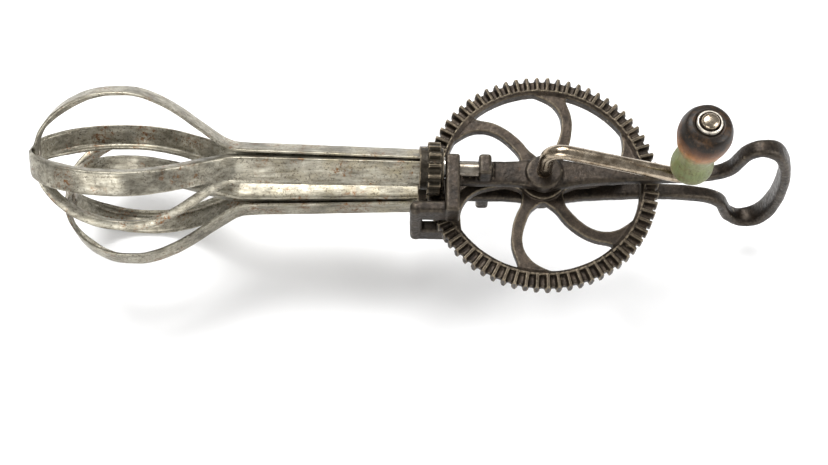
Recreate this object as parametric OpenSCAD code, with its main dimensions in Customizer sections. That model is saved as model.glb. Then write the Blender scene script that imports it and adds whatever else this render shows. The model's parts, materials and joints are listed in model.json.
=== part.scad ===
// Hand-cranked rotary egg beater: a cast frame with a handle loop, a crown gear wheel
// on a bent-rod crank, and two four-winged dashers driven by pinions on the wheel's two faces.
// X runs along the tool (dashers at -X, handle at +X), Z is the wheel's axle, crank side up.

/* [Gear wheel] */
// Radius over the ends of the wheel's teeth
wheel_r = 41; // [39:0.5:42]
// Number of teeth on each face of the wheel
wheel_teeth = 66; // [60:2:70]
// Thickness of the wheel over its teeth
wheel_t = 5.4; // [5:0.1:6]
// Thickness of the spokes and the inner ring
web_t = 3.4; // [2.6:0.1:4]
// Inner radius of the rim
rim_r = 34.5; // [33.5:0.1:35]
// Radius of the wheel's hub
hub_r = 7.8; // [6.5:0.1:9]
// Number of curved spokes
spokes = 6; // [4:1:8]
// Width of a spoke at its middle
spoke_w = 4.2; // [3:0.1:5]

/* [Dashers] */
// Number of teeth on each pinion
pinion_teeth = 14; // [12:1:15]
// Distance of each dasher's axis from the wheel's middle plane
dasher_z = 10.35; // [10.3:0.05:10.6]
// Greatest radius of a dasher's wings
bulb_r = 24.7; // [22:0.1:25]
// Width of the wing strip
strip_w = 8.4; // [7:0.1:8.8]
// Width of the lip folded inward along one edge of the wing strip
lip_w = 3.6; // [2:0.1:4]
// Thickness of the wing strip
strip_t = 1.1; // [0.8:0.1:1.3]
// Distance from the axle to the front dasher's nose
nose_x = 175.5; // [172:0.5:180]
// How much shorter the back dasher is than the front one
nose_step = 4.6; // [2.6:0.1:6]
// How far each dasher leans outward from the middle plane, in degrees
splay = 2.5; // [0:0.1:2.6]
// Diameter of the dasher shafts
shaft_d = 5; // [4:0.1:5.2]

/* [Frame] */
// Width of the legs at the axle
leg_w = 8.8; // [7:0.2:10]
// Thickness of the legs
leg_t = 4; // [3:0.1:4.4]
// Distance from the axle to the end of the handle loop
handle_x = 86.4; // [84:0.2:92]
// Half the width of the handle loop, to the middle of the band
lobe_z = 28; // [26:0.5:31]
// Height of the shaft lugs above the wheel's middle plane
lug_z = 14.8; // [14.4:0.1:16]

/* [Crank] */
// Diameter of the crank rod, which is also the axle
rod_d = 5.1; // [4.6:0.1:5.4]
// Distance from the axle to the knob's pin
crank_r = 47; // [46:0.5:52]
// Direction of the crank arm about the axle at rest
crank_angle = -9.5; // [-30:1:30]
// Length of the wooden knob
knob_l = 33.5; // [31:0.5:38]
// Greatest diameter of the knob
knob_d = 17.4; // [14:0.2:20]

/* [Hidden] */
$fn = 64;
run_gap = 0.05;
fit_gap = 0.02;
step_a = 360 / wheel_teeth;
mesh_phase = 0.22;
front_phase = 46;
back_phase = 0;
// tooth form
tooth_r0 = rim_r + 1.6;
tooth_root_z = 1;
rim_lip = 0.25;
buried = 0.6;
tooth_root_w = 2.1;
tooth_tip_w = 1.05;
pivot_x = 38;
bulb_x = 144.5;
pinion_x0 = -40.7;
pinion_x1 = -36.3;
flange_x1 = -35.3;
flange_r = 7.2;
pinion_pitch_r = 38.9 * pinion_teeth / wheel_teeth + 0.1;
pinion_r = pinion_pitch_r + 0.75;
pinion_root_r = dasher_z - wheel_t / 2 - 0.25;
collar_x0 = -43.6;
collar_r = 7.5;
wing_r0 = 5.15;
drawn_nose_x = 175.5;
nose_gap = 0.05;
// frame stations along X
plate_x0 = -34.4;
plate_x1 = -29.4;
lug_x0 = -23;
lug_x1 = -18.5;
lug_y = 3.9;
leg_z0 = 4.3;
boss_r = 6.4;
boss_z = 9.2;
arm_y0 = -17.8;
arm_y1 = -13;
cross_z = 12.6;
cross_x0 = -46.6;
cross_x1 = -42.2;
cross_cut = 1.4;
// crank stations
bend_r = 6;
end_bend_r = 3;
bend_lap = 0.4;
bend_thinner = 0.1;
arm_z0 = 25.4;
arm_z1 = 21.9;
axle_z0 = -boss_z - 1.6;
arm_drop = atan((arm_z0 - arm_z1) / (crank_r - bend_r - end_bend_r));
knob_z0 = arm_z1 + end_bend_r + 0.8;
pin_d = 4.4;
drive_pin_r = 0.9;
washer_t = 0.9;
// rest box of the whole tool, which fixes the part's origin
rivet_h = 0.8;
tail = abs(back_phase);
nose_far = pivot_x + (nose_x + strip_t / 2 + rivet_h - pivot_x) * cos(splay) + 2 * sin(splay);
lean_r = (bulb_r + strip_t / 2) * cos(tail) + strip_w / 2 * sin(tail);
low_z = -dasher_z - (bulb_x - pivot_x) * sin(splay) - lean_r * cos(splay);
mid_x = (handle_x - nose_far) / 2;

// ---- curves ----
function blend4(a, b, c, d, t) =
    0.5 * (2 * b + (c - a) * t + (2 * a - 5 * b + 4 * c - d) * t * t + (3 * b - a - 3 * c + d) * t * t * t);
function smooth(p, n) = concat(
    [for (i = [0:len(p) - 2], k = [0:n - 1])
        blend4(p[max(i - 1, 0)], p[i], p[i + 1], p[min(i + 2, len(p) - 1)], k / n)],
    [p[len(p) - 1]]);
function heading(p, i) = p[min(i + 1, len(p) - 1)] - p[max(i - 1, 0)];
function side(p, d) = [for (i = [0:len(p) - 1]) let (h = heading(p, i)) p[i] + d * [-h[1], h[0]] / norm(h)];
function backwards(p) = [for (i = [len(p) - 1:-1:0]) p[i]];
function flip_y(p) = [for (q = p) [q[0], -q[1]]];
function polar(r, a) = [r * cos(a), r * sin(a)];

module ribbon(path, t) polygon(concat(side(path, t / 2), backwards(side(path, -t / 2))));

// places the tool so that it stands on Z = 0 with its box centred on the Z axis
module at_rest() translate([-mid_x, 0, -low_z]) children();

// turns a flat outline drawn as (x, z) into a plate lying in the XZ plane, w wide along Y
module along_y(w) rotate([90, 0, 0]) linear_extrude(height = w, center = true) children();

// ---- frame ----
// Middle line of the front leg and half of the handle loop, as (x, z)
function leg_line() = [
    [plate_x0 + 0.8, leg_z0 + leg_t / 2],
    [0, leg_z0 + leg_t / 2],
    [30, leg_z0 + leg_t / 2 + 0.2],
    [46, leg_z0 + leg_t / 2 + 0.5],
    [55, 8],
    [61, 10],
    [65, 14],
    [67, 19.5],
    [69, lobe_z - 3.6],
    [73.5, lobe_z],
    [79, lobe_z - 2],
    [handle_x - leg_t / 2 - 2, 19],
    [handle_x - leg_t / 2 - 0.3, 9]];
loop_skew = 0.09;
function skewed(p) = [for (q = p) [q[0] - loop_skew * q[1] * min(1, max(0, (q[0] - 56) / 14)), q[1]]];
loop_half = leg_line();
loop_line = skewed(smooth(concat(loop_half, [[handle_x - leg_t / 2, 0]], backwards(flip_y(loop_half))), 6));

// Outline of the legs and the handle loop seen along Z, half of it, as (x, y)
half_outline = smooth([
    [plate_x0, leg_w / 2],
    [-12, leg_w / 2],
    [-6, leg_w / 2 + 0.3],
    [0, boss_r - 1.2],
    [6, boss_r - 1.5],
    [14, leg_w / 2 - 0.6],
    [34, 2.6],
    [60, 2.5],
    [72, 3],
    [82, 4.1],
    [handle_x + 1, 4.5]], 4);

// The plate, lug, arm and axle boss that stand on the front leg; each is rooted inside the leg
module yoke_side() {
    root_z = leg_z0 + buried;
    translate([lug_x0, -lug_y, root_z])
        cube([lug_x1 - lug_x0, 2 * lug_y, lug_z - root_z]);
    translate([plate_x0, arm_y0, root_z])
        cube([plate_x1 - plate_x0, lug_y - arm_y0, lug_z - root_z]);
    translate([cross_x1 - cross_cut, arm_y0 + buried, root_z])
        cube([plate_x1 - cross_x1 + cross_cut - buried, arm_y1 - arm_y0 - 2 * buried,
              cross_z - buried - root_z]);
    translate([0, 0, leg_z0 - 0.8])
        cylinder(r = boss_r, h = boss_z - leg_z0 + 0.8);
}

// The bar that joins the two arms beside the wheel's edge, its outer corners cut off
module cross_piece() linear_extrude(height = 2 * cross_z, center = true)
    polygon([[cross_x0, arm_y1], [cross_x1, arm_y1],
             [cross_x1, arm_y0 + cross_cut], [cross_x1 - cross_cut, arm_y0],
             [cross_x0 + cross_cut, arm_y0], [cross_x0, arm_y0 + cross_cut]]);

module frame_casting() color([0.2, 0.19, 0.18]) at_rest() difference() {
    union() {
        intersection() {
            along_y(3 * leg_w) ribbon(loop_line, leg_t);
            linear_extrude(height = 3 * lobe_z, center = true)
                polygon(concat(half_outline, backwards(flip_y(half_outline))));
        }
        yoke_side();
        mirror([0, 0, 1]) yoke_side();
        cross_piece();
    }
    cylinder(r = rod_d / 2 + run_gap, h = 4 * boss_z, center = true);
    for (s = [-1, 1])
        on_axis(s)
            translate([plate_x0 - 3, 0, 0])
                rotate([0, 90, 0])
                    cylinder(r = shaft_d / 2 + run_gap, h = lug_x1 - plate_x0 + 6);
}

// ---- gear wheel ----
// How far a spoke has swept round at radius r
function swept(r) = 16 * pow(max(0, r - 9) / 23, 2);
// One opening between two spokes: a wide curve on the near side, a tight corner on the far side
module window() {
    a = 360 / spokes;
    e = spoke_w / 2;
    near = [for (r = [12.5, 16, 20, 24]) polar(r, swept(r) + asin(e / r))];
    curve = [polar(28, swept(28) + 5.4), polar(31.2, swept(31.2) + 7.8), polar(33.6, swept(34) + 12)];
    outer = [for (b = [swept(34) + 18:4:a + swept(34) - 9]) polar(rim_r + 0.6, b)];
    far = [for (r = [32.4, 29, 25, 20, 16, 12.5]) polar(r, a + swept(r) - asin(e / r))];
    hub = [polar(hub_r + 1.3, a - 22), polar(hub_r + 0.8, a / 2), polar(hub_r + 1.3, 22)];
    corner = polar(rim_r - 0.2, a + swept(34) - 5);
    polygon(smooth(concat([hub[2]], near, curve, outer, [corner], far, hub), 4));
}

// One tooth on both faces of the wheel, pointing along X and rooted inside the rim
module tooth_bar() {
    tip = [tooth_tip_w / 2, wheel_t / 2];
    root = [tooth_root_w / 2, tooth_root_z - buried / 2];
    translate([tooth_r0 - buried, 0, 0])
        rotate([90, 0, 90])
            linear_extrude(height = wheel_r - tooth_r0 + buried)
                polygon([root, tip, [-tip[0], tip[1]], [-root[0], root[1]], -root, -tip, [tip[0], -tip[1]],
                         [root[0], -root[1]]]);
}

module gear_wheel() color([0.24, 0.22, 0.2]) at_rest() difference() {
    union() {
        rotate_extrude($fn = 128)
            polygon([[rim_r, -web_t / 2 - rim_lip],
                     [tooth_r0 - 0.4, -wheel_t / 2 + 0.15], [tooth_r0, -wheel_t / 2 + 0.15],
                     [tooth_r0 + 0.3, -tooth_root_z], [wheel_r - 1, -tooth_root_z],
                     [wheel_r - 1, tooth_root_z], [tooth_r0 + 0.3, tooth_root_z],
                     [tooth_r0, wheel_t / 2 - 0.15], [tooth_r0 - 0.4, wheel_t / 2 - 0.15],
                     [rim_r, web_t / 2 + rim_lip]]);
        for (k = [0:wheel_teeth - 1])
            rotate([0, 0, (k + 0.5 + mesh_phase) * step_a]) tooth_bar();
        linear_extrude(height = web_t, center = true)
            difference() {
                circle(r = rim_r + 1, $fn = 128);
                for (k = [0:spokes - 1]) rotate(k * 360 / spokes) window();
            }
        cylinder(r = hub_r, h = 2 * leg_z0 - 2.2, center = true);
    }
    cylinder(r = rod_d / 2 + fit_gap, h = 20, center = true);
    rotate([0, 90, 0]) cylinder(r = drive_pin_r + fit_gap, h = 2 * hub_r + 2, center = true);
}

module wheel_drive_pin() color("silver") at_rest()
    rotate([0, 90, 0]) cylinder(r = drive_pin_r, h = 2 * hub_r - 0.6, center = true);

// ---- crank ----
// A bend of the rod through the angle a, about the Z axis, starting on +X. It is a hair thinner
// than the rod, and its two ends run a short way into the straight stretches that it joins.
module elbow(r, a) {
    lap = bend_lap / r * 180 / PI;
    whole = a + 2 * lap;
    reach = 3 * r;
    rotate([0, 0, -lap])
        intersection() {
            rotate_extrude() translate([r, 0]) circle(d = rod_d - bend_thinner, $fn = 32);
            linear_extrude(height = 2 * rod_d, center = true)
                polygon([[0, 0], [reach, 0], [reach, reach], reach * [cos(whole) / sin(whole), 1]]);
        }
}

module crank_rod() color([0.66, 0.62, 0.55]) at_rest() difference() {
    union() {
        translate([0, 0, axle_z0]) cylinder(d = rod_d, h = arm_z0 - bend_r - axle_z0);
        translate([0, 0, axle_z0 - 0.8]) cylinder(d1 = rod_d + 0.4, d2 = rod_d + 1.8, h = 0.8);
        rotate([0, 0, crank_angle]) {
            translate([bend_r, 0, arm_z0 - bend_r])
                rotate([90, 0, 0])
                    rotate([0, 0, 90 - arm_drop]) elbow(bend_r, 90 + arm_drop);
            crank_arm();
            translate([crank_r, 0, knob_z0])
                cylinder(d = pin_d, h = knob_l + 2 * washer_t + 0.3);
            translate([crank_r, 0, knob_z0 + knob_l + 2 * washer_t + 0.1])
                cylinder(d1 = pin_d + 1.4, d2 = pin_d - 0.6, h = 1.3);
        }
    }
    rotate([0, 90, 0]) cylinder(r = drive_pin_r + fit_gap, h = 2 * hub_r + 2, center = true);
}

// straight arm between the two bends, falling by arm_drop towards the knob
module crank_arm() {
    x0 = bend_r + bend_r * sin(arm_drop);
    z0 = arm_z0 - bend_r + bend_r * cos(arm_drop);
    x1 = crank_r - end_bend_r * (1 + sin(arm_drop));
    z1 = z0 - (x1 - x0) * tan(arm_drop);
    end_z = z1 + end_bend_r * cos(arm_drop);
    translate([x0, 0, z0])
        rotate([0, 90 + arm_drop, 0])
            cylinder(d = rod_d, h = norm([x1 - x0, z1 - z0]));
    translate([crank_r - end_bend_r, 0, end_z])
        rotate([90, 0, 0])
            rotate([0, 0, -90 - arm_drop]) elbow(end_bend_r, 90 + arm_drop);
    translate([crank_r, 0, end_z])
        cylinder(d = rod_d, h = knob_z0 - end_z);
}

module axle_end_washer() color("gray") at_rest()
    translate([0, 0, -boss_z - 1.5])
        difference() {
            cylinder(d = rod_d + 4.6, h = 1.2);
            translate([0, 0, -1]) cylinder(d = rod_d + 2 * fit_gap, h = 4);
        }

module at_knob() at_rest() rotate([0, 0, crank_angle]) translate([crank_r, 0, knob_z0]) children();

module knob_base_washer() color("gray") at_knob()
    difference() {
        cylinder(d = rod_d + 4, h = washer_t);
        translate([0, 0, -1]) cylinder(d = pin_d + 2 * fit_gap, h = 4);
    }

// Half of the knob's outline as (radius, height), drawn 36 high and scaled to knob_l
knob_drawn_l = 36;
knob_outline = [
    [3.4, 0], [5.6, 0.9], [6.9, 3.4], [7.1, 6], [6.6, 9.4], [6.1, 12.4],
    [6.3, 15.6], [7.4, 20], [knob_d / 2 - 0.2, 25.4], [knob_d / 2, 29], [knob_d / 2 - 0.5, 32],
    [knob_d / 2 - 1.6, 34.6], [5.2, 35.6]];
knob_side = smooth([for (q = knob_outline) [q[0], q[1] * knob_l / knob_drawn_l]], 4);

module crank_knob() color([0.56, 0.5, 0.34]) at_knob()
    translate([0, 0, washer_t + 0.15])
        difference() {
            rotate_extrude()
                polygon(concat([[0, 0]], knob_side,
                               [[4.3, knob_l - 0.5], [4.2, knob_l - 1.2], [0, knob_l - 1.2]]));
            translate([0, 0, -1]) cylinder(d = pin_d + 2 * run_gap, h = knob_l + 2);
        }

module knob_top_washer() color("silver") at_knob()
    translate([0, 0, washer_t + knob_l - 0.9])
        difference() {
            cylinder(d = 8.2, h = washer_t + 0.9);
            translate([0, 0, -1]) cylinder(d = pin_d + 2 * fit_gap, h = 4);
        }

// ---- dashers, drawn along the X axis ----
// Half of a wing loop as (x, radius), flat where it is riveted; past the bulb it is drawn
// for a nose at drawn_nose_x and drawn in along X for a shorter one
function wing_line(x1) = let (k = (-x1 - bulb_x) / (drawn_nose_x - bulb_x)) [
    [collar_x0 + 1.8, wing_r0],
    [-60, wing_r0 + 0.2],
    [-84, wing_r0 + 0.5],
    [-103.5, wing_r0 + 0.7],
    [-109, 6.7],
    [-113.5, 9.3],
    [-119, 13.2],
    [-125.5, 17.9],
    [-132, 21.6],
    [-138.5, 24],
    [-bulb_x, bulb_r],
    [-bulb_x - 9.5 * k, 23.8],
    [-bulb_x - 18 * k, 20.6],
    [-bulb_x - 24.5 * k, 15.8],
    [x1 + 2.2 * k, 10.4],
    [x1 + 0.35, 6],
    [x1, 4.6],
    [x1, 2.5]];

// A strip bent into a long loop; hand is +1 or -1, the edge along which its lip is folded
module wing_loop(x1, hand) {
    line = wing_line(x1);
    lip_line = smooth([for (i = [0:len(line) - 5]) line[i]], 5);
    difference() {
        union() {
            linear_extrude(height = strip_w, center = true)
                ribbon(smooth(concat(line, [[x1, 0]], backwards(flip_y(line))), 5), strip_t);
            for (k = [0, 180])
                rotate([k, 0, 0])
                    translate([0, 0, hand * (strip_w - strip_t) / 2])
                        linear_extrude(height = strip_t, center = true)
                            intersection() {
                                ribbon(side(lip_line, lip_w / 2), lip_w);
                                translate([-200, 0]) square([200 + collar_x0 - 2, 60]);
                            }
        }
        translate([x1, 0, 0]) rotate([0, 90, 0]) cylinder(r = 1.2 + fit_gap, h = 6, center = true);
    }
}

module dasher_nose_rivet(x1) {
    outer_x = x1 - strip_t / 2;
    inner_x = x1 + 1.5 * strip_t + nose_gap;
    translate([outer_x - rivet_h, 0, 0]) rotate([0, 90, 0]) cylinder(r1 = 1.6, r2 = 2.3, h = rivet_h);
    translate([outer_x - 0.1, 0, 0]) rotate([0, 90, 0]) cylinder(r = 1.2, h = inner_x - outer_x + 0.2);
    translate([inner_x, 0, 0]) rotate([0, 90, 0]) cylinder(r1 = 2.3, r2 = 1.6, h = rivet_h);
}

module pinion_form(tooth_a, wing_a) difference() {
    union() {
        translate([pinion_x0, 0, 0])
            rotate([90, 0, 90])
                linear_extrude(height = pinion_x1 - pinion_x0)
                    union() {
                        circle(r = pinion_root_r);
                        for (k = [0:pinion_teeth - 1])
                            rotate(tooth_a + k * 360 / pinion_teeth)
                                polygon([[pinion_root_r - 0.4, -1.15], [pinion_pitch_r, -0.8],
                                         [pinion_r, -0.42], [pinion_r, 0.42],
                                         [pinion_pitch_r, 0.8], [pinion_root_r - 0.4, 1.15]]);
                    }
        translate([collar_x0, 0, 0])
            rotate([0, 90, 0]) cylinder(r = collar_r, h = pinion_x0 - collar_x0 + 0.1);
        translate([pinion_x1 - 0.1, 0, 0])
            rotate([0, 90, 0]) cylinder(r = flange_r, h = flange_x1 - pinion_x1 + 0.1);
    }
    translate([collar_x0 - 1, 0, 0]) rotate([0, 90, 0]) cylinder(r = shaft_d / 2 + fit_gap, h = 12);
    for (k = [0:3])
        rotate([wing_a + 90 * k, 0, 0])
            translate([collar_x0 - 1, wing_r0 - strip_t / 2 - 0.05, -strip_w / 2 - 0.05])
                cube([2.9, strip_t + 0.15, strip_w + 0.1]);
}

module shaft_form() {
    translate([collar_x0 + 0.2, 0, 0])
        rotate([0, 90, 0]) cylinder(d = shaft_d, h = lug_x1 - collar_x0 - 0.1);
}

// the axis of the front (s = 1) or back (s = -1) dasher, leaning outward from the wheel's edge
module on_axis(s)
    translate([-pivot_x, 0, s * dasher_z]) rotate([0, s * splay, 0]) translate([pivot_x, 0, 0]) children();

module at_dasher(s, a) at_rest() on_axis(s) rotate([a, 0, 0]) children();

module front_pinion() color([0.26, 0.24, 0.21]) at_dasher(1, 0)
    pinion_form(-90 - mesh_phase * 360 / pinion_teeth, front_phase);
module back_pinion() color([0.26, 0.24, 0.21]) at_dasher(-1, 0)
    pinion_form(90 + mesh_phase * 360 / pinion_teeth, back_phase);
module front_shaft() color("silver") at_dasher(1, 0) shaft_form();
module back_shaft() color("silver") at_dasher(-1, 0) shaft_form();
module shaft_washer_form() translate([flange_x1 + 0.02, 0, 0]) rotate([0, 90, 0])
    difference() {
        cylinder(r = shaft_d / 2 + 1.6, h = plate_x0 - flange_x1 - 0.28);
        translate([0, 0, -1]) cylinder(r = shaft_d / 2 + fit_gap, h = 4);
    }
module front_shaft_washer() color("gray") at_dasher(1, 0) shaft_washer_form();
module back_shaft_washer() color("gray") at_dasher(-1, 0) shaft_washer_form();
module front_outer_loop() color([0.66, 0.64, 0.6]) at_dasher(1, front_phase + 90)
    wing_loop(-nose_x, -1);
module front_inner_loop() color([0.62, 0.6, 0.56]) at_dasher(1, front_phase)
    wing_loop(-nose_x + strip_t + nose_gap, -1);
module back_outer_loop() color([0.66, 0.64, 0.6]) at_dasher(-1, back_phase)
    wing_loop(nose_step - nose_x, 1);
module back_inner_loop() color([0.62, 0.6, 0.56]) at_dasher(-1, back_phase + 90)
    wing_loop(nose_step - nose_x + strip_t + nose_gap, 1);
module front_nose_rivet() color("silver") at_dasher(1, 0) dasher_nose_rivet(-nose_x);
module back_nose_rivet() color("silver") at_dasher(-1, 0) dasher_nose_rivet(nose_step - nose_x);

frame_casting();
gear_wheel();
wheel_drive_pin();
crank_rod();
axle_end_washer();
knob_base_washer();
crank_knob();
knob_top_washer();
front_pinion();
front_shaft();
front_outer_loop();
front_inner_loop();
front_nose_rivet();
front_shaft_washer();
back_pinion();
back_shaft();
back_outer_loop();
back_inner_loop();
back_nose_rivet();
back_shaft_washer();
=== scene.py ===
"""Looks for the hand-cranked egg beater: cast, wire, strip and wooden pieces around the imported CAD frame.

Lengths in this script are millimetres measured from the middle of the gear wheel, with X along the tool
(dashers at -X, handle at +X) and Z along the wheel's axle. PLACE turns them into the row's metres.
"""
import json
import math

import bmesh
import bpy
from mathutils import Matrix, Vector, noise


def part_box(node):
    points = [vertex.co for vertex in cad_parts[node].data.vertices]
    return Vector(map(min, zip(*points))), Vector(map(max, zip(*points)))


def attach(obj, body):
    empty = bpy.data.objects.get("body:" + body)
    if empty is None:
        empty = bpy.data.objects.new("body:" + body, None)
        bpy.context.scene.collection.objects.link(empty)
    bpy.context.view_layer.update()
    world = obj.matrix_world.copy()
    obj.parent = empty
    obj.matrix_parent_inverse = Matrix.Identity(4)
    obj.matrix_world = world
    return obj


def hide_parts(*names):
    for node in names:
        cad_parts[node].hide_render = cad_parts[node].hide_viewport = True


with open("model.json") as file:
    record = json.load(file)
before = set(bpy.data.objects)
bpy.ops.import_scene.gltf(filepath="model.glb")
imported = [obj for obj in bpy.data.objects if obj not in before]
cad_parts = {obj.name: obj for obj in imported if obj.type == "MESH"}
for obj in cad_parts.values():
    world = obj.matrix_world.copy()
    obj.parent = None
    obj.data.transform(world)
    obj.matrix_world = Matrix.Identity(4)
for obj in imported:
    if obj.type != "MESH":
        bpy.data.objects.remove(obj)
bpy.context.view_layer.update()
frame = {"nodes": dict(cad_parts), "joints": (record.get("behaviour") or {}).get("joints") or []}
NODES = frame["nodes"]
JOINTS = {j["name"]: j for j in frame["joints"]}
MM = 0.001


def wheel_centre():
    low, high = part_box("gear_wheel")
    return (low + high) / 2


CENTRE = wheel_centre()
PLACE = Matrix.Translation(CENTRE) @ Matrix.Scale(MM, 4)


# ---- driving sizes, as in the CAD model ----
FRONT_PHASE = 46
BACK_PHASE = 0
STRIP_W = 8.4
STRIP_T = 0.95
LIP_W = 3.5
NOSE_X = 175.5
NOSE_STEP = 4.6
LOOP_STEP = 1.15
DRAWN_NOSE_X = 175.5
BULB_X = 144.5
COLLAR_X = -43.6
PIVOT_X = -38
WING_R = 5.15
ROD_R = 2.55
PIN_R = 2.2
SHAFT_R = 2.5
BORE_GAP = 0.05
CRANK_R = 47
CRANK_ANGLE = -9.5
BEND_R = 6
END_BEND_R = 3
ARM_Z0 = 25.4
ARM_Z1 = 21.9
AXLE_Z0 = -10.8
KNOB_Z0 = ARM_Z1 + END_BEND_R + 0.8
KNOB_L = 33.5
KNOB_D = 17.4
WASHER_T = 0.9
LEG_T = 4
LEG_Z = 6.3
BOSS_R = 6.4
BOSS_Z = 9.2
LOBE_Z = 28
HANDLE_X = 86.4
LOOP_SKEW = 0.09
PLATE_X = (-34.4, -29.4)
LUG_X = (-23, -18.5)
LUG_Y = 3.9
LUG_Z = 14.8
ARM_Y = (-17.8, -13)
CROSS_X = (-46.6, -42.2)
CROSS_Z = 12.6

# ---- camera, in millimetres from the middle of the gear wheel, and degrees ----
CAMERA_AT = (-45.06, -204.8, 428.03)
CAMERA_TILT = 23.37
CAMERA_ROLL = 0.6
LENS = 58.3


# ---- curves ----
def blend4(a, b, c, d, t):
    """A Catmull-Rom curve at t between b and c."""
    square = (2 * a - 5 * b + 4 * c - d) * t * t
    cube = (3 * b - a - 3 * c + d) * t ** 3
    return 0.5 * (2 * b + (c - a) * t + square + cube)


def smooth(points, steps):
    """A curve through the points, with this many steps between each two."""
    p = [Vector(q) for q in points]
    last = len(p) - 1
    out = []
    for i in range(last):
        for k in range(steps):
            out.append(blend4(p[max(i - 1, 0)], p[i], p[i + 1], p[min(i + 2, last)], k / steps))
    out.append(p[last])
    return out


def headings(points):
    last = len(points) - 1
    return [(points[min(i + 1, last)] - points[max(i - 1, 0)]).normalized() for i in range(last + 1)]


def ease(low, high, x):
    t = min(1, max(0, (x - low) / (high - low)))
    return t * t * (3 - 2 * t)


def interpolate(table, x):
    """The value at x of a table of (x, value) pairs, with straight lines between them."""
    if x <= table[0][0]:
        return table[0][1]
    for (x0, v0), (x1, v1) in zip(table, table[1:]):
        if x <= x1:
            return v0 + (v1 - v0) * (x - x0) / (x1 - x0)
    return table[-1][1]


# ---- mesh makers; each gives (verts, faces) in millimetres ----
def loft(rings, closed=False):
    """A skin over rings of points, capped at both ends unless it is closed."""
    n = len(rings[0])
    verts = [v for ring in rings for v in ring]
    faces = []
    for i in range(len(rings) if closed else len(rings) - 1):
        a, b = i * n, (i + 1) % len(rings) * n
        for k in range(n):
            faces.append((a + k, a + (k + 1) % n, b + (k + 1) % n, b + k))
    if not closed:
        faces.append(tuple(range(n - 1, -1, -1)))
        faces.append(tuple(range(len(verts) - n, len(verts))))
    return verts, faces


def lathe(profile, turns=64):
    """A ring-shaped solid: the closed profile of (radius, height) turned about Z."""
    rings = []
    for k in range(turns):
        a = 2 * math.pi * k / turns
        rings.append([Vector((r * math.cos(a), r * math.sin(a), z)) for r, z in profile])
    return loft(rings, closed=True)


def rounded_box(low, high, r, steps=3):
    """A box with rounded edges, from corner to corner."""
    bm = bmesh.new()
    bmesh.ops.create_cube(bm, size=1)
    size = Vector(high) - Vector(low)
    middle = (Vector(high) + Vector(low)) / 2
    bmesh.ops.scale(bm, vec=size, verts=bm.verts)
    bmesh.ops.translate(bm, vec=middle, verts=bm.verts)
    bmesh.ops.bevel(bm, geom=list(bm.edges), offset=r, segments=steps, profile=0.5, affect="EDGES")
    verts = [v.co.copy() for v in bm.verts]
    faces = [tuple(v.index for v in f.verts) for f in bm.faces]
    bm.free()
    return verts, faces


def rounded_disc(r, z0, z1, edge):
    """A solid disc about Z with rounded rims, capped so that it is closed."""
    profile = [(0.01, z0)]
    for k in range(5):
        a = math.radians(-90 + 22.5 * k)
        profile.append((r - edge + edge * math.cos(a), z0 + edge + edge * math.sin(a)))
    for k in range(5):
        a = math.radians(22.5 * k)
        profile.append((r - edge + edge * math.cos(a), z1 - edge + edge * math.sin(a)))
    profile.append((0.01, z1))
    return lathe(profile)


def ring_profile(r_in, r_out, z0, z1, edge):
    """The closed profile of a washer with rounded outer rims."""
    profile = [(r_in, z1), (r_in, z0)]
    for k in range(4):
        a = math.radians(-90 + 30 * k)
        profile.append((r_out - edge + edge * math.cos(a), z0 + edge + edge * math.sin(a)))
    for k in range(4):
        a = math.radians(30 * k)
        profile.append((r_out - edge + edge * math.cos(a), z1 - edge + edge * math.sin(a)))
    return profile


def merged(*meshes):
    verts, faces = [], []
    for v, f in meshes:
        start = len(verts)
        verts += v
        faces += [tuple(start + i for i in face) for face in f]
    return verts, faces


def moved(mesh, matrix):
    return [matrix @ v for v in mesh[0]], mesh[1]


# ---- pieces ----
def linked(name, data):
    obj = bpy.data.objects.new(name, data)
    bpy.context.scene.collection.objects.link(obj)
    return obj


def piece(name, mesh, body, material, replaces):
    """Makes one shown object from a mesh in millimetres, riding on its body in place of a CAD node."""
    data = bpy.data.meshes.new(name)
    data.from_pydata([tuple(PLACE @ Vector(v)) for v in mesh[0]], [], mesh[1])
    bm = bmesh.new()
    bm.from_mesh(data)
    bmesh.ops.recalc_face_normals(bm, faces=bm.faces)
    bm.to_mesh(data)
    bm.free()
    return dressed(linked(name, data), body, material, replaces)


def dressed(obj, body, material, replaces):
    obj.data.materials.clear()
    obj.data.materials.append(material)
    obj.data.shade_smooth()
    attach(obj, body)
    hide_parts(replaces)
    return obj


def applied(obj):
    """Bakes the object's modifiers into its mesh."""
    graph = bpy.context.evaluated_depsgraph_get()
    graph.update()
    data = bpy.data.meshes.new_from_object(obj.evaluated_get(graph))
    obj.modifiers.clear()
    obj.data = data
    return obj


def cast_skin(obj, voxel, rounds, dents):
    """Turns an object into one rounded casting: fused, softened edges, slightly uneven faces."""
    remesh = obj.modifiers.new("fuse", "REMESH")
    remesh.mode = "VOXEL"
    remesh.voxel_size = voxel * MM
    soften = obj.modifiers.new("soften", "SMOOTH")
    soften.factor = 0.5
    soften.iterations = rounds
    applied(obj)
    roughen(obj, dents)
    return obj


def pushed_out(obj, amount):
    """Moves each point along its normal by amount(point in metres), in millimetres."""
    data = obj.data
    points = [v.co.copy() for v in data.vertices]
    normals = [n.vector.copy() for n in data.vertex_normals]
    moved_points = [c for p, n in zip(points, normals) for c in p + n * amount(p) * MM]
    data.vertices.foreach_set("co", moved_points)
    data.update()


def roughen(obj, depth):
    """Uneven faces, as a sand casting has: a slow and a quick noise, up to depth millimetres."""
    slow, quick = 180, 900
    pushed_out(obj, lambda p: depth * (0.65 * noise.noise(p * slow) + 0.35 * noise.noise(p * quick)))


def soft_dents(obj, depth):
    """Slow unevenness only, for strips and turned pieces."""
    pushed_out(obj, lambda p: depth * noise.noise(p * 260))


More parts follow.
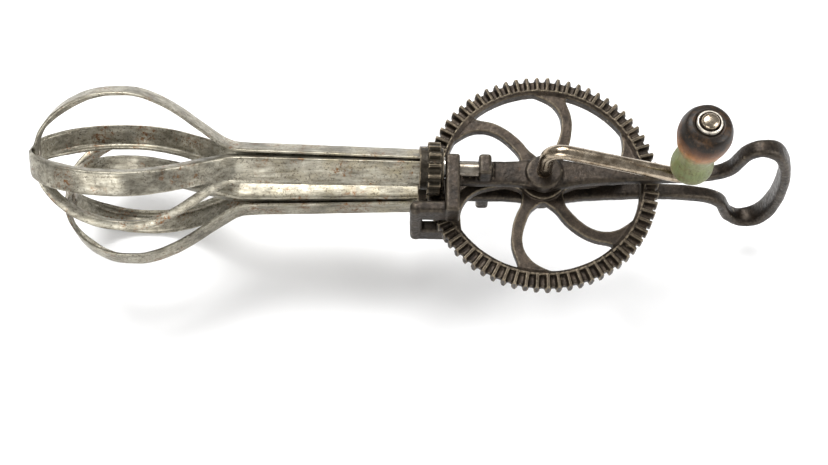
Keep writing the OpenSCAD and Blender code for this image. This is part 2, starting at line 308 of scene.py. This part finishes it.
def node_copy(node, name):
    """A copy of a CAD node's mesh, welded so that it can be remeshed."""
    data = NODES[node].data.copy()
    bm = bmesh.new()
    bm.from_mesh(data)
    bmesh.ops.remove_doubles(bm, verts=bm.verts, dist=1e-6)
    bm.to_mesh(data)
    bm.free()
    return linked(name, data)



# ---- materials ----
class Look:
    """A node material made of one Principled shader and a few procedural layers."""

    def __init__(self, name, metallic, roughness):
        self.material = bpy.data.materials.new(name)
        self.material.use_nodes = True
        self.tree = self.material.node_tree
        self.shader = self.tree.nodes["Principled BSDF"]
        self.shader.inputs["Metallic"].default_value = metallic
        self.shader.inputs["Roughness"].default_value = roughness
        self.where = self.add("ShaderNodeTexCoord").outputs["Object"]

    def add(self, kind, **values):
        node = self.tree.nodes.new(kind)
        for key, value in values.items():
            setattr(node, key, value)
        return node

    def link(self, a, b):
        self.tree.links.new(a, b)

    def stretched(self, x, y, z):
        node = self.add("ShaderNodeMapping")
        node.inputs["Scale"].default_value = (x, y, z)
        self.link(self.where, node.inputs["Vector"])
        return node.outputs["Vector"]

    def noise(self, size_mm, detail=6, rough=0.6, where=None):
        """Noise whose blotches are about size_mm across."""
        node = self.add("ShaderNodeTexNoise")
        node.inputs["Scale"].default_value = 1 / (size_mm * MM)
        node.inputs["Detail"].default_value = detail
        node.inputs["Roughness"].default_value = rough
        self.link(where or self.where, node.inputs["Vector"])
        return node.outputs["Fac"]

    def ramp(self, value, stops):
        """stops are (position, colour or grey level)."""
        node = self.add("ShaderNodeValToRGB")
        ramp = node.color_ramp
        while len(ramp.elements) < len(stops):
            ramp.elements.new(0.5)
        for element, (position, colour) in zip(ramp.elements, stops):
            element.position = position
            rgb = (colour,) * 3 if isinstance(colour, (int, float)) else colour
            element.color = (*rgb, 1)
        self.link(value, node.inputs["Fac"])
        return node.outputs["Color"]

    def mix(self, amount, a, b, mode="MIX"):
        """Colour a where amount is 0, and b where it is 1. b may be a colour or a socket."""
        node = self.add("ShaderNodeMix", data_type="RGBA", blend_type=mode)
        for value, name in ((a, 6), (b, 7)):
            if isinstance(value, tuple):
                node.inputs[name].default_value = (*value, 1)
            else:
                self.link(value, node.inputs[name])
        if isinstance(amount, (int, float)):
            node.inputs[0].default_value = amount
        else:
            self.link(amount, node.inputs[0])
        return node.outputs[2]

    def maths(self, kind, a, b):
        node = self.add("ShaderNodeMath", operation=kind, use_clamp=True)
        for value, name in ((a, 0), (b, 1)):
            if isinstance(value, (int, float)):
                node.inputs[name].default_value = value
            else:
                self.link(value, node.inputs[name])
        return node.outputs[0]

    def edges(self, low, high):
        """1 on outer edges and 0 on flats and in corners."""
        return self.ramp(self.add("ShaderNodeNewGeometry").outputs["Pointiness"], [(low, 0), (high, 1)])

    def along(self, axis):
        node = self.add("ShaderNodeSeparateXYZ")
        self.link(self.where, node.inputs[0])
        return node.outputs[axis]

    def band(self, value, low, high):
        """0 below low and 1 above high, in metres along the value."""
        node = self.add("ShaderNodeMapRange", clamp=True)
        node.inputs["From Min"].default_value = low
        node.inputs["From Max"].default_value = high
        self.link(value, node.inputs["Value"])
        return node.outputs["Result"]

    def colour(self, socket):
        self.link(socket, self.shader.inputs["Base Color"])

    def roughness(self, value, low, high):
        self.link(self.ramp(value, [(0.3, low), (0.7, high)]), self.shader.inputs["Roughness"])

    def bump(self, value, depth_mm, strength=1.0):
        node = self.add("ShaderNodeBump")
        node.inputs["Distance"].default_value = depth_mm * MM
        node.inputs["Strength"].default_value = strength
        self.link(value, node.inputs["Height"])
        self.link(node.outputs["Normal"], self.shader.inputs["Normal"])


def cast_iron(name, dark, light, worn, metallic=0.72):
    """Old grey iron: mottled dark skin, gritty surface, edges rubbed bright."""
    look = Look(name, metallic, 0.5)
    skin = look.ramp(look.noise(5), [(0.32, dark), (0.68, light)])
    grit = look.ramp(look.noise(0.55, 4), [(0.35, 0.62), (0.6, 1.15)])
    skin = look.mix(1.0, skin, grit, "MULTIPLY")
    rub = look.maths("MULTIPLY", look.edges(0.505, 0.56), look.ramp(look.noise(2.2), [(0.3, 0.35), (0.6, 1)]))
    skin = look.mix(rub, skin, worn)
    crust = look.ramp(look.noise(3.1, 8, 0.7), [(0.6, 0), (0.68, 0.75)])
    look.colour(look.mix(crust, skin, (0.055, 0.034, 0.02)))
    look.roughness(look.noise(1.6), 0.3, 0.56)
    look.bump(look.noise(0.7, 8, 0.7), 0.12, 0.9)
    return look.material


def tinned_steel(name):
    """Aged tin plate: streaks along the strip, dark pits, and rust where the plate has gone."""
    look = Look(name, 0.86, 0.4)
    streaks = look.noise(1.4, 6, 0.65, look.stretched(0.16, 1, 1))
    plate = look.ramp(streaks, [
        (0.3, (0.17, 0.15, 0.11)), (0.5, (0.34, 0.315, 0.25)), (0.72, (0.52, 0.495, 0.41))])
    cloud = look.ramp(look.noise(9, 5), [(0.35, 0.55), (0.62, 1.1)])
    plate = look.mix(1.0, plate, cloud, "MULTIPLY")
    stain = look.maths("MULTIPLY", look.ramp(look.noise(7, 6), [(0.48, 0), (0.66, 0.8)]),
                       look.band(look.along(0), -0.07, 0.0))
    plate = look.mix(stain, plate, (0.36, 0.31, 0.2))
    pits = look.ramp(look.noise(0.75, 5, 0.75), [(0.53, 0), (0.6, 0.9)])
    few = look.ramp(look.noise(7, 4), [(0.36, 0.25), (0.56, 1)])
    plate = look.mix(look.maths("MULTIPLY", pits, few), plate, (0.075, 0.06, 0.045))
    rust = look.maths("MULTIPLY", look.ramp(look.noise(1.3, 6, 0.7), [(0.5, 0), (0.6, 1)]),
                      look.ramp(look.noise(12, 3), [(0.54, 0), (0.62, 1)]))
    look.colour(look.mix(rust, plate, (0.17, 0.075, 0.026)))
    look.roughness(look.noise(2.4), 0.32, 0.55)
    look.bump(look.noise(0.9, 6, 0.65), 0.05, 0.6)
    return look.material


def worn_nickel(name, dark, light, rough=(0.2, 0.42)):
    """Plated steel gone dull in patches, with small dark specks and a finely bumpy surface."""
    look = Look(name, 1.0, 0.3)
    patches = look.ramp(look.noise(3.5, 8, 0.7), [(0.34, dark), (0.62, light)])
    specks = look.ramp(look.noise(0.6, 4), [(0.6, 0), (0.7, 0.7)])
    look.colour(look.mix(specks, patches, (0.11, 0.08, 0.055)))
    look.roughness(look.noise(1.8), *rough)
    look.bump(look.noise(0.8, 6, 0.6), 0.04, 0.5)
    return look.material


def painted_knob(name):
    """Turned wood: green paint low down, an orange-brown band above it, nearly black at the top."""
    look = Look(name, 0.0, 0.4)
    look.shader.inputs["Specular IOR Level"].default_value = 0.22
    base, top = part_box("crank_knob")[0].z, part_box("crank_knob")[1].z
    height = look.band(look.along(2), base, top)
    wobble = look.maths("SUBTRACT", look.noise(5, 5), 0.5)
    raised = look.maths("ADD", height, look.maths("MULTIPLY", wobble, 0.4))
    paint = look.ramp(raised, [
        (0.0, (0.13, 0.12, 0.04)), (0.25, (0.15, 0.175, 0.07)), (0.58, (0.19, 0.195, 0.08)),
        (0.7, (0.3, 0.12, 0.028)), (0.82, (0.09, 0.036, 0.014)), (0.93, (0.014, 0.01, 0.007))])
    grime = look.ramp(look.noise(4, 8, 0.7), [(0.5, 0), (0.7, 0.6)])
    paint = look.mix(grime, paint, (0.13, 0.065, 0.025))
    chips = look.ramp(look.noise(0.9, 8, 0.7), [(0.56, 0), (0.64, 0.75)])
    paint = look.mix(chips, paint, (0.06, 0.035, 0.018))
    grain = look.ramp(look.noise(0.7, 4, 0.5, look.stretched(1, 1, 0.12)), [(0.3, 0.78), (0.7, 1.1)])
    look.colour(look.mix(1.0, paint, grain, "MULTIPLY"))
    look.roughness(look.noise(2), 0.32, 0.5)
    look.bump(look.noise(1.1, 6, 0.6), 0.08, 0.6)
    return look.material


IRON = cast_iron("frame_iron", (0.01, 0.0075, 0.0055), (0.042, 0.031, 0.022), (0.2, 0.165, 0.12))
WHEEL_IRON = cast_iron("wheel_iron", (0.013, 0.009, 0.006), (0.052, 0.038, 0.026), (0.25, 0.205, 0.14))
PINION_IRON = cast_iron("pinion_iron", (0.014, 0.011, 0.007), (0.052, 0.041, 0.027), (0.31, 0.25, 0.17))
TIN = tinned_steel("aged_tin")
NICKEL = worn_nickel("worn_nickel", (0.16, 0.115, 0.07), (0.5, 0.42, 0.32), (0.15, 0.33))
STEEL = worn_nickel("dull_steel", (0.15, 0.125, 0.095), (0.4, 0.36, 0.3), (0.25, 0.45))
BRIGHT = worn_nickel("washer_steel", (0.2, 0.18, 0.15), (0.55, 0.52, 0.47), (0.22, 0.4))
# The cap washer is dark all over, with only its raised rims lightened by the edge mask, so its sunken seat
# round the rivet shows dark.
CAP = cast_iron("cap_washer_steel", (0.05, 0.035, 0.025), (0.13, 0.1, 0.075), (0.8, 0.74, 0.64), 0.9)
KNOB = painted_knob("worn_knob_paint")


# ---- frame casting ----
def leg_line():
    """Middle line of the front leg and half of the handle loop, as (x, z)."""
    return [(PLATE_X[0] + 0.4, LEG_Z), (0, LEG_Z), (30, LEG_Z + 0.2), (46, LEG_Z + 0.5), (55, 8), (61, 10),
            (65, 14), (67, 19.5), (69, LOBE_Z - 3.6), (73.5, LOBE_Z), (79, LOBE_Z - 2),
            (HANDLE_X - LEG_T / 2 - 2, 19), (HANDLE_X - LEG_T / 2 - 0.3, 9)]


HALF_WIDTHS = [(PLATE_X[0], 4.4), (-12, 4.4), (-6, 5), (0, 6.2), (5, 5.6), (14, 3.9), (34, 2.7), (60, 2.5),
               (72, 3), (82, 4.1), (HANDLE_X + 1, 4.5)]


def skewed(p):
    return Vector((p[0] - LOOP_SKEW * p[1] * min(1, max(0, (p[0] - 56) / 14)), p[1]))


def bar_section(half_w, half_t, power, steps=28):
    """A superellipse: a flat bar with rounded edges, rounder as power falls to 2."""
    ring = []
    for k in range(steps):
        a = 2 * math.pi * k / steps
        c, s = math.cos(a), math.sin(a)
        u = math.copysign(abs(c) ** (2 / power), c) * half_w
        v = math.copysign(abs(s) ** (2 / power), s) * half_t
        ring.append((u, v))
    return ring


def legs_and_loop():
    half = leg_line()
    line = smooth(half + [(HANDLE_X - LEG_T / 2, 0)] + [(x, -z) for x, z in reversed(half)], 8)
    line = [skewed(p) for p in line]
    rings = []
    for p, h in zip(line, headings(line)):
        side = Vector((-h.y, h.x))
        power = 5 - 2 * ease(50, 66, p.x)
        section = bar_section(interpolate(HALF_WIDTHS, p.x), LEG_T / 2, power)
        rings.append([Vector((p.x + side.x * v, u, p.y + side.y * v)) for u, v in section])
    return loft(rings)


def yoke_side(s):
    """The plate, lug, arm and axle boss on the front (s = 1) or back (s = -1) leg."""
    def block(low, high, r):
        z = sorted((s * low[2], s * high[2]))
        return rounded_box((low[0], low[1], z[0]), (high[0], high[1], z[1]), r)
    boss = sorted((s * (LEG_Z - 2), s * BOSS_Z))
    return merged(
        block((PLATE_X[0], ARM_Y[0], 4.3), (PLATE_X[1], LUG_Y, LUG_Z), 0.9),
        block((LUG_X[0], -LUG_Y, 4.6), (LUG_X[1], LUG_Y, LUG_Z), 1.0),
        block((LUG_X[0] - 1.2, -LUG_Y + 0.4, 5), (LUG_X[1] + 1.2, LUG_Y - 0.4, 9.2), 0.9),
        block((CROSS_X[0] + 2, ARM_Y[0] + 0.4, 4.3), (PLATE_X[1], ARM_Y[1], CROSS_Z), 1.2),
        block((PLATE_X[1] - 1.4, -LUG_Y, 4.6), (PLATE_X[1] + 1.2, LUG_Y, 9.4), 0.9),
        rounded_disc(BOSS_R, boss[0], boss[1], 0.9))


def dasher_axis(s):
    """A point on the front (s = 1) or back (s = -1) dasher's joint axis, in mm, and its direction."""
    joint = JOINTS["front_dasher_spin" if s > 0 else "back_dasher_spin"]
    return (Vector(joint["pos_m"]) - CENTRE) / MM, Vector(joint["axis"]).normalized()


def shaft_line(s):
    """Matrix that lays a Z axis along the front (s = 1) or back (s = -1) dasher's joint axis."""
    at, along = dasher_axis(s)
    return Matrix.Translation(at) @ along.to_track_quat("Z", "Y").to_matrix().to_4x4()


def bore_tools():
    """Rods that cut the axle bore and the two dasher bores, which end just past the lugs."""
    axle = rounded_disc(ROD_R + BORE_GAP, -14, 14, 0.01)
    shafts = [moved(rounded_disc(SHAFT_R + BORE_GAP, -6, 20.3, 0.01), shaft_line(s)) for s in (-1, 1)]
    return merged(axle, *shafts)


def make_frame_casting():
    cross = rounded_box((CROSS_X[0], ARM_Y[0], -CROSS_Z), (CROSS_X[1], ARM_Y[1], CROSS_Z), 1.8)
    mesh = merged(legs_and_loop(), yoke_side(1), yoke_side(-1), cross)
    casting = piece("cast_frame", mesh, "frame", IRON, "frame_casting")
    cast_skin(casting, 0.32, 5, 0.16)
    tools = raw_object("bore_tools", bore_tools())
    cut = casting.modifiers.new("bores", "BOOLEAN")
    cut.object = tools
    cut.solver = "MANIFOLD"
    applied(casting)
    bpy.data.objects.remove(tools)
    casting.data.shade_smooth()


def raw_object(name, mesh):
    data = bpy.data.meshes.new(name)
    data.from_pydata([tuple(PLACE @ v) for v in mesh[0]], [], mesh[1])
    bm = bmesh.new()
    bm.from_mesh(data)
    bmesh.ops.remove_doubles(bm, verts=bm.verts, dist=1e-8)
    bmesh.ops.recalc_face_normals(bm, faces=bm.faces)
    bm.to_mesh(data)
    bm.free()
    return linked(name, data)


# ---- castings shaped by their CAD nodes ----
def make_cast_copy(name, node, body, material, voxel, rounds, dents):
    obj = node_copy(node, name)
    cast_skin(obj, voxel, rounds, dents)
    return dressed(obj, body, material, node)


# ---- crank ----
def arc(centre, r, start, end, steps=10):
    out = []
    for k in range(steps + 1):
        a = math.radians(start + (end - start) * k / steps)
        out.append(Vector((centre[0] + r * math.cos(a), centre[1] + r * math.sin(a))))
    return out


def crank_line():
    """The rod's middle line as (distance out along the arm, height)."""
    drop = math.degrees(math.atan((ARM_Z0 - ARM_Z1) / (CRANK_R - BEND_R - END_BEND_R)))
    first = arc((BEND_R, ARM_Z0 - BEND_R), BEND_R, 180, 90 - drop, 12)
    a = math.radians(drop)
    x1 = CRANK_R - END_BEND_R * (1 + math.sin(a))
    z1 = first[-1].y - (x1 - first[-1].x) * math.tan(a)
    last = arc((CRANK_R - END_BEND_R, z1 + END_BEND_R * math.cos(a)), END_BEND_R, -90 - drop, 0, 10)
    stem = [Vector((0, AXLE_Z0 + 18 * k / 6)) for k in range(7)]
    arm = [first[-1].lerp(last[0], k / 14) for k in range(1, 14)]
    return stem + first + arm + last


def round_ring(p, along, r, flat=1.0, steps=24):
    """A ring of points about p in the plane across along, which lies in the XZ plane."""
    side = Vector((0, 1, 0))
    up = along.cross(side).normalized()
    ring = []
    for k in range(steps):
        a = 2 * math.pi * k / steps
        ring.append(p + side * r * math.cos(a) + up * r * flat * math.sin(a))
    return ring


def make_crank_rod():
    line = [Vector((p.x, 0, p.y)) for p in crank_line()]
    rings = [round_ring(Vector((0, 0, AXLE_Z0 - 0.85)), Vector((0, 0, 1)), r) for r in (0.6, 2.4)]
    rings.append(round_ring(Vector((0, 0, AXLE_Z0 - 0.5)), Vector((0, 0, 1)), 3.2))
    rings.append(round_ring(Vector((0, 0, AXLE_Z0 - 0.05)), Vector((0, 0, 1)), 3.1))
    for p, h in zip(line, headings(line)):
        wobble = 1 + 0.012 * noise.noise(p * 0.35)
        rings.append(round_ring(p, h, ROD_R * wobble, 1 - 0.05 * ease(16, 25, p.z) * (p.x < 9)))
    up = Vector((0, 0, 1))
    top = KNOB_Z0 + KNOB_L + 2 * WASHER_T
    pin = [(KNOB_Z0 - 0.02, ROD_R), (KNOB_Z0, PIN_R), (top - 0.1, PIN_R), (top + 0.05, PIN_R + 0.1)]
    head = [(top + 0.15, 2.75), (top + 0.5, 2.8), (top + 0.9, 2.45), (top + 1.2, 1.7), (top + 1.35, 0.7)]
    for z, r in pin + head:
        rings.append(round_ring(Vector((CRANK_R, 0, z)), up, r))
    mesh = moved(loft(rings), Matrix.Rotation(math.radians(CRANK_ANGLE), 4, "Z"))
    piece("bent_crank_rod", mesh, "drive", NICKEL, "crank_rod")


def knob_place():
    turn = Matrix.Rotation(math.radians(CRANK_ANGLE), 4, "Z")
    return turn @ Matrix.Translation((CRANK_R, 0, KNOB_Z0))


def make_knob():
    r = KNOB_D / 2
    drawn_l = 36
    outline = [(3.0, 0.0), (4.6, 0.15), (5.8, 0.9), (6.9, 3.2), (7.1, 6), (6.6, 9.4), (6.1, 12.4),
               (6.3, 15.6), (7.4, 20), (r - 0.2, 25.4), (r, 29), (r - 0.5, 32), (r - 1.6, 34.4), (5.4, 35.35)]
    side = [(q.x, q.y * KNOB_L / drawn_l) for q in smooth(outline, 5)]
    top = KNOB_L - 0.55
    profile = [(PIN_R + 0.06, 0.0)] + side + [(4.35, top), (4.3, top - 0.65), (PIN_R + 0.06, top - 0.65)]
    mesh = moved(lathe(profile, 72), knob_place() @ Matrix.Translation((0, 0, WASHER_T + 0.15)))
    knob = piece("turned_knob", mesh, "knob", KNOB, "crank_knob")
    soft_dents(knob, 0.12)


def make_washer(name, node, body, profile, place, material):
    piece(name, moved(lathe(profile, 48), place), body, material, node)


def cupped_profile():
    """The dished washer let into the knob's top: a raised rim round a sunken seat for the rivet."""
    low, high = KNOB_L + 0.1, KNOB_L + 2 * WASHER_T
    seat = high - 0.55
    return [(PIN_R + 0.03, low), (3.9, low), (4.1, low + 0.2), (4.1, high - 0.35), (3.95, high - 0.1),
            (3.7, high), (3.45, high - 0.1), (3.3, high - 0.4), (3.2, seat), (PIN_R + 0.03, seat)]


# ---- dashers ----
def wing_line(x1):
    """Half of a dasher loop as (x, distance from the axis), from the collar to its flat nose."""
    k = (-x1 - BULB_X) / (DRAWN_NOSE_X - BULB_X)
    return [(COLLAR_X + 1.8, WING_R), (-60, WING_R + 0.2), (-84, WING_R + 0.5), (-103.5, WING_R + 0.7),
            (-109, 6.7), (-113.5, 9.3), (-119, 13.2), (-125.5, 17.9), (-132, 21.6), (-138.5, 24),
            (-BULB_X, 24.7), (-BULB_X - 9.5 * k, 23.8), (-BULB_X - 18 * k, 20.6), (-BULB_X - 24.5 * k, 15.8),
            (x1 + 2.2 * k, 10.4), (x1 + 0.35, 6), (x1, 4.6), (x1, 2.5)]


def strip_edge(depth):
    """Half of the strip's outline, from its outer face round one edge: (distance in from it, outward)."""
    t, bend, crown = STRIP_T / 2, 0.55, 0.1
    edge = []
    for k in range(1, 5):
        a = math.radians(90 - 22.5 * k)
        edge.append((bend - bend * math.cos(a), t - crown - bend + bend * math.sin(a)))
    low = t - depth
    edge += [(0, low + 0.15), (0.15, low), (STRIP_T - 0.15, low), (STRIP_T, min(-t, low + 0.15))]
    return edge + [(STRIP_T, min(-t, -t + 0.4 * (low + t))), (STRIP_T + 0.4, -t)]


def strip_section(left, right):
    """Outline of the strip as (across, outward): slightly crowned, its edges folded in by left and right."""
    w, t, crown = STRIP_W / 2, STRIP_T / 2, 0.1
    flat = w - 0.6
    ring = [(u, t - crown * (u / w) ** 2) for u in (flat * (k / 4 - 1) for k in range(9))]
    ring += [(w - d, v) for d, v in strip_edge(right)]
    inner = w - STRIP_T - 1.2
    ring += [(u, -t - 0.06 * (1 - (u / w) ** 2)) for u in (inner * (1 - k / 2) for k in range(5))]
    ring += [(d - w, v) for d, v in reversed(strip_edge(left))]
    return ring


def lip_depth(p):
    """How far the lip stands in: full along the wing, nothing at the collar's grip and round the nose."""
    grow = ease(COLLAR_X - 1, COLLAR_X - 6, p.x)
    fade = ease(5, 21, abs(p.y)) if p.x < -150 else 1
    return STRIP_T + (LIP_W - STRIP_T) * grow * fade


def wing_loop(x1, hand):
    """A long bent loop along X; hand is the side that its first wing's lip is on."""
    half = wing_line(x1)
    line = smooth(half + [(x1, 0)] + [(x, -r) for x, r in reversed(half)], 7)
    rings = []
    for p, h in zip(line, headings(line)):
        depth = lip_depth(p)
        lip_side = hand if p.y > 0 else -hand
        section = strip_section(STRIP_T, depth) if lip_side > 0 else strip_section(depth, STRIP_T)
        rings.append([Vector((p.x + h.y * v, p.y - h.x * v, u)) for u, v in section])
    return loft(rings)


def dasher_place(s):
    """Matrix from a dasher drawn along the wheel's X axis to its own leaning axis."""
    at, along = dasher_axis(s)
    side = Vector((0, 1, 0))
    turn = Matrix((along, side, along.cross(side))).transposed().to_4x4()
    return Matrix.Translation(at) @ turn @ Matrix.Translation((-PIVOT_X, 0, 0))


def nose_rivet(x1):
    """The two-headed rivet through the crossed strips, as a closed profile about the dasher's axis."""
    t = STRIP_T
    outer, inner = x1 - t / 2, x1 + LOOP_STEP + t / 2
    half = [(0.02, outer - 0.85), (1.1, outer - 0.75), (1.9, outer - 0.4), (2.25, outer + 0.02),
            (1.2, outer + 0.05), (1.2, inner - 0.05),
            (2.25, inner - 0.02), (1.9, inner + 0.4), (1.1, inner + 0.75), (0.02, inner + 0.85)]
    return lathe(half, 32)


def make_dasher(side_name, s, phase, x1, hand):
    body = side_name + "_dasher"
    place = dasher_place(s)
    outer_phase, inner_phase = (phase + 90, phase) if s > 0 else (phase, phase + 90)
    for kind, x, angle in (("outer", x1, outer_phase), ("inner", x1 + LOOP_STEP, inner_phase)):
        turned = place @ Matrix.Rotation(math.radians(angle), 4, "X")
        name = side_name + "_" + kind + "_wing_strip"
        loop = piece(name, moved(wing_loop(x, hand), turned), body, TIN,
                     side_name + "_" + kind + "_loop")
        soft_dents(loop, 0.1)
    x_to_z = Matrix.Rotation(math.radians(90), 4, "Y")
    piece(side_name + "_nose_rivet_heads", moved(nose_rivet(x1), place @ x_to_z), body, STEEL,
          side_name + "_nose_rivet")
    make_cast_copy(side_name + "_cast_pinion", side_name + "_pinion", body, PINION_IRON,
                   0.22, 3, 0.1)


# ---- build ----
make_frame_casting()
make_cast_copy("cast_gear_wheel", "gear_wheel", "drive", WHEEL_IRON, 0.3, 3, 0.14)
make_crank_rod()
make_knob()
KNOB_PLACE = knob_place()
make_washer("knob_seat_washer", "knob_base_washer", "drive",
            ring_profile(PIN_R + 0.03, ROD_R + 2, 0, WASHER_T, 0.3), KNOB_PLACE, BRIGHT)
make_washer("knob_cap_washer", "knob_top_washer", "drive", cupped_profile(), KNOB_PLACE, CAP)
make_washer("axle_back_washer", "axle_end_washer", "drive",
            ring_profile(ROD_R + 0.03, ROD_R + 2.3, -BOSS_Z - 1.5, -BOSS_Z - 0.3, 0.35),
            Matrix.Identity(4), BRIGHT)
make_dasher("front", 1, FRONT_PHASE, -NOSE_X, -1)
make_dasher("back", -1, BACK_PHASE, NOSE_STEP - NOSE_X, 1)
for node, material in (("wheel_drive_pin", STEEL), ("front_shaft", STEEL), ("back_shaft", STEEL),
                       ("front_shaft_washer", BRIGHT), ("back_shaft_washer", BRIGHT)):
    NODES[node].data.materials.clear()
    NODES[node].data.materials.append(material)


# ---- floor, light and camera ----
def make_floor():
    bpy.ops.mesh.primitive_plane_add(size=6, location=(0, 0, -0.0002))
    floor = bpy.context.object
    floor.name = "studio_floor"
    look = Look("pale_floor", 0.0, 0.9)
    look.shader.inputs["Specular IOR Level"].default_value = 0.1
    look.colour(look.ramp(look.noise(300, 2), [(0.0, 0.9), (1.0, 0.93)]))
    floor.data.materials.append(look.material)


def area_light(name, at, size, watts, colour=(1, 1, 1)):
    data = bpy.data.lights.new(name, "AREA")
    data.shape = "RECTANGLE"
    data.size, data.size_y = size
    data.energy = watts
    data.color = colour
    lamp = linked(name, data)
    lamp.location = at
    lamp.rotation_euler = (CENTRE - Vector(at)).to_track_quat("-Z", "Y").to_euler()


def make_lights():
    world = bpy.data.worlds.new("studio")
    bpy.context.scene.world = world
    world.use_nodes = True
    world.node_tree.nodes["Background"].inputs["Color"].default_value = (1, 1, 1, 1)
    world.node_tree.nodes["Background"].inputs["Strength"].default_value = 0.32
    area_light("key_softbox", (-0.2, 0.6, 0.95), (0.8, 0.5), 16)
    area_light("side_softbox", (0.8, -0.15, 0.6), (0.4, 0.6), 6)
    area_light("front_fill", (-0.4, -0.8, 0.5), (0.6, 0.4), 5)


def make_camera():
    data = bpy.data.cameras.new("camera")
    data.sensor_width = 36
    data.lens = LENS
    data.clip_start = 0.01
    camera = linked("camera", data)
    tilt = Matrix.Rotation(math.radians(CAMERA_TILT), 4, "X")
    roll = Matrix.Rotation(math.radians(CAMERA_ROLL), 4, "Z")
    at = CENTRE + Vector(CAMERA_AT) * MM
    camera.matrix_world = Matrix.Translation(at) @ tilt @ roll
    bpy.context.scene.camera = camera


make_floor()
make_lights()
make_camera()
bpy.context.scene.view_settings.view_transform = "Standard"
